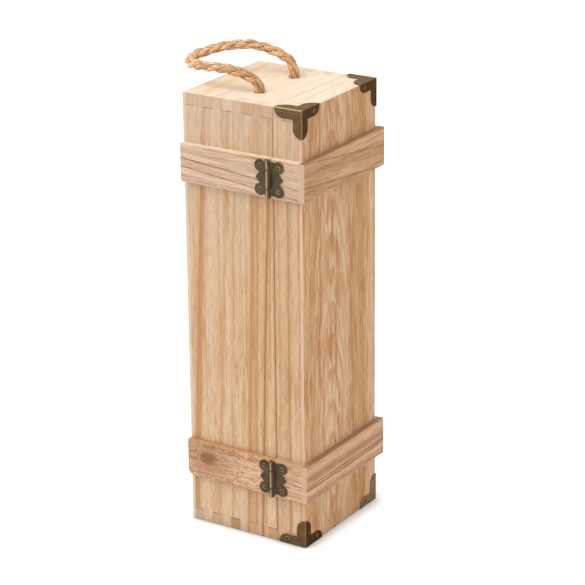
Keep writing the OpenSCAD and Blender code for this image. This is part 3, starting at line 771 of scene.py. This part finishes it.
def nail_part(points):
    """A tubular nail with a rolled rim where a CAD nail is, facing out of the box."""
    low, high = points.min(0), points.max(0)
    middle = (low + high) / 2
    axis = int(np.argmax(high - low))
    out = np.zeros(3)
    out[axis] = math.copysign(1, middle[axis])
    tip = high[axis] if out[axis] > 0 else low[axis]
    seat = middle.copy()
    seat[axis] = tip - out[axis] * NAIL_STANDS * MM
    across = np.roll(out, 1)
    up = np.cross(out, across)
    verts, faces = [], []
    for radius, height in NAIL_PROFILE:
        for s in range(NAIL_SIDES):
            angle = 2 * math.pi * s / NAIL_SIDES
            round_it = across * math.cos(angle) + up * math.sin(angle)
            verts.append(seat + (radius * round_it + height * out) * MM)
    for i in range(len(NAIL_PROFILE) - 1):
        for s in range(NAIL_SIDES):
            n = (s + 1) % NAIL_SIDES
            base, above = i * NAIL_SIDES, (i + 1) * NAIL_SIDES
            faces.append((base + n, base + s, above + s, above + n))
    return verts, faces, [(0.0, 0.0)] * (4 * len(faces))


def make_nails(node, body, rim, pit):
    parts = [nail_part(points) for points in loose_parts(node)]
    piece = mesh_piece(node + "_rims", parts, rim)
    piece.data.materials.append(pit)
    per_nail = (len(NAIL_PROFILE) - 1) * NAIL_SIDES
    # The pit's floor and wall take the near-black material, painted shade inside the hollow nail
    for i, polygon in enumerate(piece.data.polygons):
        if i % per_nail < NAIL_PIT_RINGS * NAIL_SIDES:
            polygon.material_index = 1
    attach(piece, body)
    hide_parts(node)


# ---------------------------------------------------------------- dressing the CAD pieces

WOOD_EDGE = 0.4 * MM
METAL_EDGE = 0.2 * MM
EDGE_SEGMENTS = 2
FLAT_ANGLE = math.radians(0.5)
SHARP_ANGLE = math.radians(40)

# The two pieces that meet at the split on the hinge side keep crisper edges
SPLIT_EDGE = 0.15 * MM
SPLIT_PIECES = ("hinge_side_board", "lid_hinge_strip")


def dress(node, material, round_over=0.0):
    """Gives a CAD node its material and slightly broken edges."""
    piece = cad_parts[node]
    piece.data.materials.clear()
    piece.data.materials.append(material)
    if round_over:
        flat = piece.modifiers.new("flat_faces", "DECIMATE")
        flat.decimate_type = "DISSOLVE"
        flat.angle_limit = FLAT_ANGLE
        bevel = piece.modifiers.new("broken_edges", "BEVEL")
        bevel.width = round_over
        bevel.segments = EDGE_SEGMENTS
        bevel.limit_method = "ANGLE"
        bevel.angle_limit = SHARP_ANGLE
        bevel.harden_normals = True


TOP_CREAM = (0.83, 0.71, 0.58)
TOP_ENDS = [
    (-22.6, (0.54, 0.34, 0.20)), (-5.2, (0.50, 0.31, 0.188)), (12.2, (0.62, 0.47, 0.34)),
    (29.6, (0.545, 0.38, 0.262)), (47.0, (0.565, 0.38, 0.255)),
]
BOTTOM_ENDS = [
    (-22.6, (0.56, 0.335, 0.175)), (-5.2, (0.575, 0.375, 0.215)), (12.2, (0.45, 0.26, 0.12)),
    (29.6, (0.565, 0.39, 0.255)), (47.0, (0.575, 0.40, 0.29)),
]
HINGE_SIDE = Board(
    "zyx", (260.0, -140.0, 0.02, 7.5, 0.3), wave=0.2, fleck=0.32, dashes=0.7, flame=1.5,
    strokes=0.7, low=(190.0, 110.0, 0.3, 1.0), fade=(280.0, 312.0, 1.0, 0.45), short=0.9,
    end_grain=TOP_CREAM, seed=1.0,
    washes=[(150.0, 60.0, 0.55, (0.76, 0.56, 0.37)), (190.0, 320.0, 0.3, (0.50, 0.417, 0.338))],
    streaks=[
        (40.0, -0.050, 5.0, 0.45, CREAM), (49.4, -0.046, 3.3, 0.65, BROWN),
        (27.8, -0.046, 1.8, 0.55, BROWN), (22.0, -0.040, 2.2, 0.45, CREAM),
        (14.9, -0.025, 0.9, 0.5, BROWN), (2.3, 0.070, 3.5, 0.4, CREAM),
        (50.8, -0.048, 0.8, 0.75, (0.46, 0.20, 0.065)), (47.6, -0.044, 0.8, 0.55, BROWN),
        (30.0, -0.025, 4.0, 0.4, TAN), (-4.3, -0.030, 4.0, 0.5, BROWN),
        (-0.3, -0.030, 1.9, 0.85, BROWN), (-7.7, -0.020, 0.9, 0.7, BROWN),
        (-12.3, -0.020, 3.0, 0.3, TAN), (-13.6, -0.030, 1.3, 0.95, DARK),
        (-16.5, -0.030, 0.7, 0.6, BROWN), (-35.0, 0.0, 5.0, 0.55, TAN),
        (-47.0, 0.0, 6.0, 0.2, TAN), (-31.0, 0.0, 1.0, 0.4, BROWN),
        # The dark streak at -27.0 is painted shade along the split between the lid and the tray
        (-27.0, 0.0, 1.4, 0.85, BROWN), (-39.4, 0.0, 1.1, 0.75, DARK),
        (-49.2, 0.0, 1.1, 0.6, BROWN),
    ],
)
LATCH_SIDE = Board(
    "zyx", (-150.0, 150.0, 0.03, 7.0, 0.4), tone=0.75, wave=0.9, fleck=0.6, dashes=0.6,
    end_grain=TOP_CREAM, seed=2.0,
    streaks=[
        (34.0, 0.03, 3.2, 0.7, BROWN), (8.0, 0.02, 1.4, 0.7, BROWN),
        (-36.0, 0.02, 1.2, 0.7, BROWN), (20.0, 0.025, 4.0, 0.5, CREAM),
        (-14.0, 0.02, 2.2, 0.5, BROWN),
    ],
)
FACE_PANEL = Board(
    "zxy", (-12.0, -50.0, 0.10, 9.0, 0.9), light=(0.77, 0.54, 0.34), mid=(0.65, 0.395, 0.20),
    late=(0.50, 0.205, 0.06), wave=0.8, fleck=0.42, dashes=0.9, flame=8.0, strokes=0.78,
    short=0.7, lines=0.7, edge=PINK_EDGE, end_grain=TOP_CREAM, seed=3.0,
    washes=[(300.0, 335.0, 0.15, (0.48, 0.24, 0.09))],
    streaks=[
        (20.0, 0.0, 4.5, 0.5, (0.52, 0.245, 0.08)), (31.0, 0.0, 6.5, 0.6, (0.50, 0.23, 0.075)),
        (22.4, -0.035, 0.9, 0.85, (0.42, 0.18, 0.055)), (34.5, 0.0, 0.9, 0.6, (0.44, 0.19, 0.06)),
        (47.0, 0.0, 5.0, 0.65, (0.74, 0.50, 0.31)), (6.0, 0.0, 7.0, 0.4, (0.74, 0.52, 0.33)),
        (-39.0, 0.0, 7.0, 0.4, (0.54, 0.27, 0.11)), (-19.0, -0.01, 4.0, 0.35, (0.74, 0.52, 0.33)),
    ],
)
BACK_PANEL = Board(
    "zxy", (14.0, 66.0, 0.06, 6.0, 0.8), tone=0.7, wave=1.2, fleck=0.65, dashes=0.7, flame=7.0,
    edge=(0.74, 0.62, 0.50), end_grain=TOP_CREAM, seed=4.0,
)
TOP_BOARD = Board(
    "xyz", (20.0, 480.0, 0.03, 6.0, 0.3), light=(0.85, 0.73, 0.60), mid=(0.83, 0.64, 0.43),
    late=(0.74, 0.49, 0.28), tone=0.3, wave=0.8, fleck=0.25, dashes=0.15, ends=TOP_ENDS,
    end_grain=(0.60, 0.385, 0.235), seed=5.0,
    streaks=[
        (38.0, 0.0, 16.0, 0.45, (0.86, 0.65, 0.41)), (40.0, 0.05, 3.0, 0.6, (0.74, 0.49, 0.26)),
        (24.0, 0.02, 2.0, 0.35, (0.72, 0.48, 0.28)), (-38.0, 0.03, 1.4, 0.4, (0.72, 0.48, 0.28)),
    ],
)
BOTTOM_BOARD = Board("xyz", (20.0, -90.0, 0.03, 6.0, 0.5), tone=0.6, ends=BOTTOM_ENDS, seed=6.0)
UPPER_HINGE_BATTEN = Board(
    "yzx", (420.0, -160.0, 0.05, 7.0, 0.35), light=(0.74, 0.54, 0.395), mid=(0.60, 0.40, 0.26),
    late=(0.41, 0.23, 0.13), tone=0.7, wave=0.25, fleck=0.6, edge=(0.78, 0.64, 0.48), seed=7.0,
    streaks=[
        (302.0, 0.09, 2.6, 0.35, (0.46, 0.29, 0.19)), (291.7, 0.10, 2.6, 0.5, (0.54, 0.31, 0.20)),
        (295.5, 0.092, 0.6, 0.85, (0.27, 0.13, 0.065)),
        (288.0, 0.11, 0.6, 0.85, (0.27, 0.13, 0.065)),
        (299.0, 0.092, 1.4, 0.5, (0.76, 0.58, 0.44)), (285.0, 0.10, 1.6, 0.5, (0.77, 0.58, 0.43)),
    ],
)
UPPER_LID_HINGE_BATTEN = Board(
    "yzx", (420.0, -160.0, 0.05, 7.0, 0.35), light=(0.71, 0.51, 0.37), mid=(0.60, 0.395, 0.26),
    late=(0.44, 0.26, 0.15), wave=0.25, fleck=0.55, edge=(0.78, 0.64, 0.48),
    end_grain=(0.66, 0.48, 0.34), seed=8.0,
    streaks=[
        (295.5, 0.092, 0.6, 0.75, (0.30, 0.15, 0.08)), (291.7, 0.10, 2.4, 0.4, (0.50, 0.28, 0.18)),
        (288.4, 0.11, 0.6, 0.7, (0.34, 0.17, 0.09)),
    ],
)
LOWER_HINGE_BATTEN = Board(
    "yzx", (55.0, -66.0, 0.04, 4.6, 0.6), light=(0.77, 0.53, 0.345), mid=(0.61, 0.35, 0.185),
    late=(0.36, 0.155, 0.068), tone=0.6, wave=0.9, fleck=0.9, dashes=1.2, short=2.8,
    # Its ledge is painted dark next to the wall, as shade where the ledge meets it
    knots=[(33.4, 57.3, 5.8)], edge=(0.60, 0.30, 0.14), foot_shade=(0.30, 0.13, 0.055), seed=9.0,
)
LOWER_LID_HINGE_BATTEN = Board(
    "yzx", (80.0, -75.0, 0.06, 4.6, 0.5), light=(0.73, 0.50, 0.32), mid=(0.58, 0.34, 0.18),
    late=(0.39, 0.185, 0.09), tone=0.6, wave=0.8, fleck=0.9, dashes=1.2, edge=(0.52, 0.33, 0.20),
    end_grain=(0.64, 0.44, 0.29), seed=10.0,
)
UPPER_FRONT_BATTEN = Board(
    "xzy", (310.0, -100.0, 0.10, 8.0, 0.5), light=(0.68, 0.43, 0.235), mid=(0.53, 0.29, 0.135),
    # Its narrow sides' dark brown is painted shade on the ledge against the face panel
    late=(0.36, 0.17, 0.07), tone=0.6, wave=0.3, fleck=0.6, dashes=0.6, edge=(0.30, 0.155, 0.08),
    end_grain=(0.67, 0.485, 0.345), seed=11.0,
    streaks=[
        (304.5, -0.125, 0.7, 0.7, (0.27, 0.13, 0.055)),
        (298.5, -0.11, 4.0, 0.55, (0.42, 0.225, 0.11)),
        (287.0, -0.105, 0.7, 0.8, (0.27, 0.13, 0.055)),
        (283.0, -0.105, 2.5, 0.6, (0.42, 0.22, 0.10)),
    ],
)
LOWER_FRONT_BATTEN = Board(
    "xzy", (330.0, -120.0, 0.03, 6.0, 0.5), light=(0.75, 0.48, 0.29), mid=(0.60, 0.335, 0.18),
    late=(0.34, 0.155, 0.068), tone=0.7, wave=0.25, fleck=0.6, dashes=0.6,
    # Its narrow sides' dark brown is painted shade, as on the upper front batten
    edge=(0.30, 0.155, 0.08), end_grain=(0.68, 0.46, 0.30), seed=12.0,
    streaks=[
        (66.0, 0.0, 3.0, 0.5, (0.75, 0.50, 0.31)), (58.5, -0.02, 2.8, 0.8, (0.43, 0.215, 0.10)),
        (53.0, -0.01, 0.7, 0.85, (0.28, 0.13, 0.06)), (50.2, -0.01, 0.7, 0.85, (0.28, 0.13, 0.06)),
        (44.2, 0.0, 0.6, 0.85, (0.28, 0.13, 0.06)), (47.2, 0.0, 1.5, 0.6, (0.73, 0.52, 0.34)),
    ],
)
LATCH_BATTEN = Board(
    "yzx", (400.0, 170.0, 0.04, 7.0, 0.4), light=(0.70, 0.50, 0.35), mid=(0.59, 0.38, 0.24),
    late=(0.42, 0.24, 0.13), tone=0.6, wave=0.4, fleck=0.6, edge=(0.78, 0.64, 0.48), seed=13.0,
    streaks=[
        (303.0, -0.06, 0.8, 0.7, DARK), (288.0, 0.05, 2.0, 0.5, BROWN),
        (60.0, 0.04, 2.0, 0.6, BROWN),
    ],
)

WOODS = {
    "hinge_side_board": HINGE_SIDE, "lid_hinge_strip": HINGE_SIDE,
    "latch_side_board": LATCH_SIDE, "lid_latch_strip": LATCH_SIDE,
    "lid_face_panel": FACE_PANEL, "back_panel": BACK_PANEL,
    "top_board": TOP_BOARD, "lid_top_strip": TOP_BOARD,
    "bottom_board": BOTTOM_BOARD, "lid_bottom_strip": BOTTOM_BOARD,
    "upper_hinge_side_batten": UPPER_HINGE_BATTEN, "lower_hinge_side_batten": LOWER_HINGE_BATTEN,
    "upper_lid_hinge_batten": UPPER_LID_HINGE_BATTEN,
    "lower_lid_hinge_batten": LOWER_LID_HINGE_BATTEN,
    "upper_lid_front_batten": UPPER_FRONT_BATTEN, "lower_lid_front_batten": LOWER_FRONT_BATTEN,
    "upper_latch_side_batten": LATCH_BATTEN, "lower_latch_side_batten": LATCH_BATTEN,
    "upper_lid_latch_batten": LATCH_BATTEN, "lower_lid_latch_batten": LATCH_BATTEN,
}


def dress_wood():
    made = {}
    for node, board in WOODS.items():
        if board not in made:
            made[board] = wood(node + "_wood", board)
        dress(node, made[board], SPLIT_EDGE if node in SPLIT_PIECES else WOOD_EDGE)


def middle_z(node):
    """The height of a node's middle in millimetres."""
    low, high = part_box(node)
    return (low[2] + high[2]) / 2 / MM


# Bright lines down the brackets' outer corner and along their top and bottom edges: partly rubbed
# wear, partly painted highlight
def bracket_wear_and_highlights():
    low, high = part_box("corner_top_hinge_side")
    out_x, out_y, top = -low[0] / MM, -low[1] / MM, high[2] / MM
    return [
        (("x", out_x), ("y", out_y), 0.35, 0.35),
        (("x", out_x), ("z", top), 0.55, 1.0),
        (("x", out_x), ("z", 0.0), 0.4, 0.4),
    ]


def leaf_bronze():
    """The hinges' metal, with a painted highlight down the knuckles' outer side that stays dark at
    the joints between them.
    """
    pin_low, pin_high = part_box("upper_hinge_pin")
    pin = (pin_low + pin_high) / 2 / MM
    # A painted highlight down the knuckles' outer side, facing -X
    knuckles = [(("x", pin.x - KNUCKLE_R), ("y", pin.y), 0.5, 0.95)]
    joints = [
        middle + side * KNUCKLE_JOINT
        for middle in (middle_z("upper_hinge_pin"), middle_z("lower_hinge_pin"))
        for side in (-1, 1)
    ]
    return bronzed_metal("leaf_bronze", *LEAF_METAL, knuckles, joints)


def dress_metal():
    wear_and_highlights = bracket_wear_and_highlights()
    # The brackets' faces along Y are painted darker, as shade
    bracket = bronzed_metal("bracket_bronze", *BRACKET_METAL, wear_and_highlights, front_light_and_shade=BRACKET_FRONT_SHADE)
    painted_light_bracket = bronzed_metal("painted_light_bracket_bronze", *BRACKET_METAL, wear_and_highlights, front_light_and_shade=PAINTED_LIGHT_FRONT)
    leaf = leaf_bronze()
    plain = bronzed_metal("hook_brass", *HOOK_METAL)
    # The nail rims' faces along Y are painted darker, as shade
    rim = bronzed_metal("nail_rim", *RIM_METAL, front_light_and_shade=RIM_FRONT_SHADE)
    pit = bronzed_metal("nail_pit_shade", *PIT_SHADE_METAL)
    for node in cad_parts:
        # The far bottom bracket's faces along Y are painted lighter, as light
        if node == "corner_bottom_latch_side":
            dress(node, painted_light_bracket, METAL_EDGE)
        elif node.startswith("corner_") and node != "corner_nails":
            dress(node, bracket, METAL_EDGE)
        elif node.endswith("_leaf"):
            dress(node, leaf, METAL_EDGE)
        elif node.endswith(("_hook", "_screw", "_peg")):
            dress(node, plain, METAL_EDGE)
        elif node.endswith("_pin"):
            dress(node, leaf)
    make_nails("corner_nails", "lid", rim, pit)
    make_nails("lid_hinge_nails", "lid", rim, pit)
    make_nails("tray_hinge_nails", "tray", rim, pit)


dress_wood()
dress_metal()

# ---------------------------------------------------------------- surround and light

AMBIENT = 0.62
FLOOR_SIZE = 8
FLOOR_DROP = 0.0002
FLOOR_WHITE = 0.92
FLOOR_LIFT = 0.46
# How far out from the box the floor's painted contact shade reaches
CONTACT_SHADE_REACH = 14 * MM
BOX_MIDDLE = (0, 0, 0.18)

# Name, place, size, power and colour
LAMPS = [
    ("key", (-0.80, 0.35, 1.55), 2.0, 21.5, (1.0, 0.985, 0.96)),
    ("fill", (0.2, -1.5, 0.8), 1.2, 4.0, (1.0, 0.99, 0.98)),
]


def make_world():
    """A plain white surround: full white to the camera and reflections, softer as a light."""
    world = bpy.data.worlds.new("surround")
    bpy.context.scene.world = world
    world.use_nodes = True
    tree = world.node_tree
    tree.nodes.clear()
    path = tree.nodes.new("ShaderNodeLightPath")
    mix = tree.nodes.new("ShaderNodeMixShader")
    soft = tree.nodes.new("ShaderNodeBackground")
    white = tree.nodes.new("ShaderNodeBackground")
    out = tree.nodes.new("ShaderNodeOutputWorld")
    for node, strength in ((soft, AMBIENT), (white, 1.0)):
        node.inputs["Color"].default_value = (1, 1, 1, 1)
        node.inputs["Strength"].default_value = strength
    seen = path.outputs["Is Camera Ray"]
    for ray in ("Is Glossy Ray", "Is Transmission Ray"):
        both = tree.nodes.new("ShaderNodeMath")
        both.operation = "MAXIMUM"
        tree.links.new(seen, both.inputs[0])
        tree.links.new(path.outputs[ray], both.inputs[1])
        seen = both.outputs[0]
    tree.links.new(seen, mix.inputs[0])
    tree.links.new(soft.outputs[0], mix.inputs[1])
    tree.links.new(white.outputs[0], mix.inputs[2])
    tree.links.new(mix.outputs[0], out.inputs[0])


def make_floor():
    """A white floor that glows a little to the camera and keeps the shadow under the box, with
    painted shade added close round the box's foot.
    """
    bpy.ops.mesh.primitive_plane_add(size=FLOOR_SIZE, location=(0, 0, -FLOOR_DROP))
    floor = bpy.context.object
    floor.name = "floor"
    g = Graph("floor_white")
    # Painted contact shade: ambient occlusion darkens the floor's colour and glow near the box
    near = g.tree.nodes.new("ShaderNodeAmbientOcclusion")
    near.samples = 8
    near.inputs["Distance"].default_value = CONTACT_SHADE_REACH
    contact_shade = near.outputs["AO"]
    level = g.mul(contact_shade, FLOOR_WHITE)
    g.finish(g.vector(level, level, level), 0.9, 0.0)
    path = g.tree.nodes.new("ShaderNodeLightPath")
    glow = g.tree.nodes.new("ShaderNodeEmission")
    seen = g.mul(path.outputs["Is Camera Ray"], FLOOR_LIFT)
    g.plug(g.mul(seen, contact_shade), glow.inputs["Strength"])
    both = g.tree.nodes.new("ShaderNodeAddShader")
    g.tree.links.new(g.shader.outputs[0], both.inputs[0])
    g.tree.links.new(glow.outputs[0], both.inputs[1])
    g.tree.links.new(both.outputs[0], g.out.inputs[0])
    floor.data.materials.append(g.material)


def soft_lamp(name, place, size, power, colour):
    data = bpy.data.lights.new(name, "AREA")
    data.shape = "DISK"
    data.size, data.energy, data.color = size, power, colour
    lamp = bpy.data.objects.new(name, data)
    lamp.location = place
    way = Vector(BOX_MIDDLE) - Vector(place)
    lamp.rotation_euler = way.to_track_quat("-Z", "Y").to_euler()
    bpy.context.scene.collection.objects.link(lamp)


make_world()
make_floor()
for lamp in LAMPS:
    soft_lamp(*lamp)
bpy.context.scene.view_settings.view_transform = "Standard"
